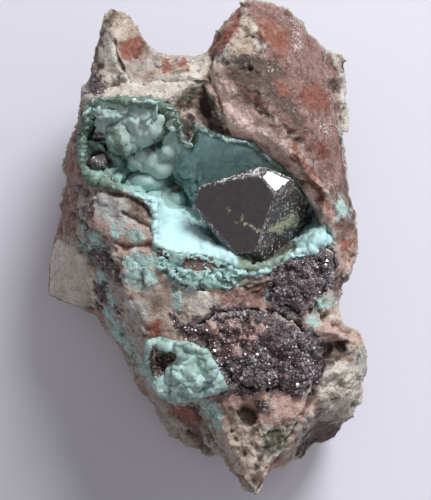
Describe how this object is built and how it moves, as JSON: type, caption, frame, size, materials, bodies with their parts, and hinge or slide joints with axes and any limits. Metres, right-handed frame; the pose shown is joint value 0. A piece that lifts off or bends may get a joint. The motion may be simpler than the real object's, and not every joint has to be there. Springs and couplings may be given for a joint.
{
  "type": "mineral specimen",
  "caption": "Hand specimen of cuprite with chrysocolla: broken host rock with a lined vug and one large cuprite crystal.",
  "frame": {"origin": "middle of the specimen in plan, on the broken base that it lies on", "axes": "+Z out of the display face, +Y towards the end with two spikes, +X towards the right when seen with the spikes up"},
  "size_m": [0.0554, 0.0836, 0.035],
  "materials": {
    "host_rock": "rough broken rock, iron-stained",
    "chrysocolla": "matt botryoidal crust",
    "cuprite": "submetallic crystal faces",
    "cuprite_druse": "sparkling crust of small crystals"
  },
  "bodies": {
    "root": {"matrix": "host_rock", "vug_lining": "chrysocolla", "cuprite_crystal": "cuprite", "small_cuprite_upper": "cuprite", "small_cuprite_lower": "cuprite", "cuprite_druse_lower": "cuprite_druse", "cuprite_druse_right": "cuprite_druse", "chrysocolla_crust": "chrysocolla", "chrysocolla_knob": "chrysocolla"}
  },
  "joints": []
}
